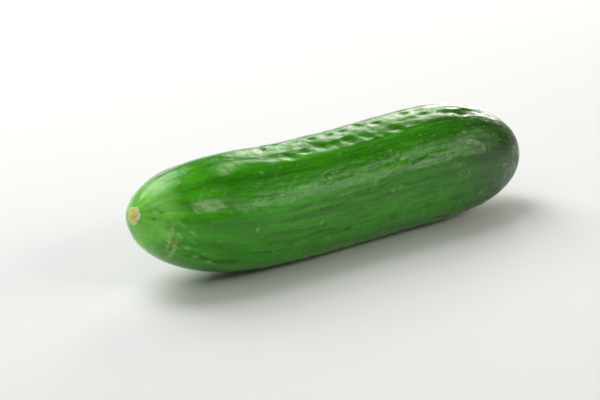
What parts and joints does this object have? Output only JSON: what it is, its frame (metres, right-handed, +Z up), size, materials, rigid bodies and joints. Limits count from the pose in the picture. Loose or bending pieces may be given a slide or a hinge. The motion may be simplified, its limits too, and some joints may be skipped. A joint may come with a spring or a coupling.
{
  "type": "cucumber",
  "caption": "Whole mini cucumber with smooth thin glossy green skin, low ribs and dimples, a pale corky blossom scar and a round stem scar, lying on its belly.",
  "frame": {"origin": "on the surface it lies on, under the middle of the fruit's box", "axes": "+X from the blossom end to the stem end, +Z up, -Y the side that the picture shows"},
  "size_m": [0.1644, 0.0404, 0.0413],
  "materials": {
    "cucumber_skin": "smooth waxy green skin, paler and yellower at the blossom end, darker at the stem end, with soft gloss",
    "corky_scar": "dry, crumbly straw-yellow cork with a pale ragged edge, where the flower dropped off and where the stalk was cut"
  },
  "bodies": {
    "root": {"cucumber": "cucumber_skin"}
  },
  "joints": []
}
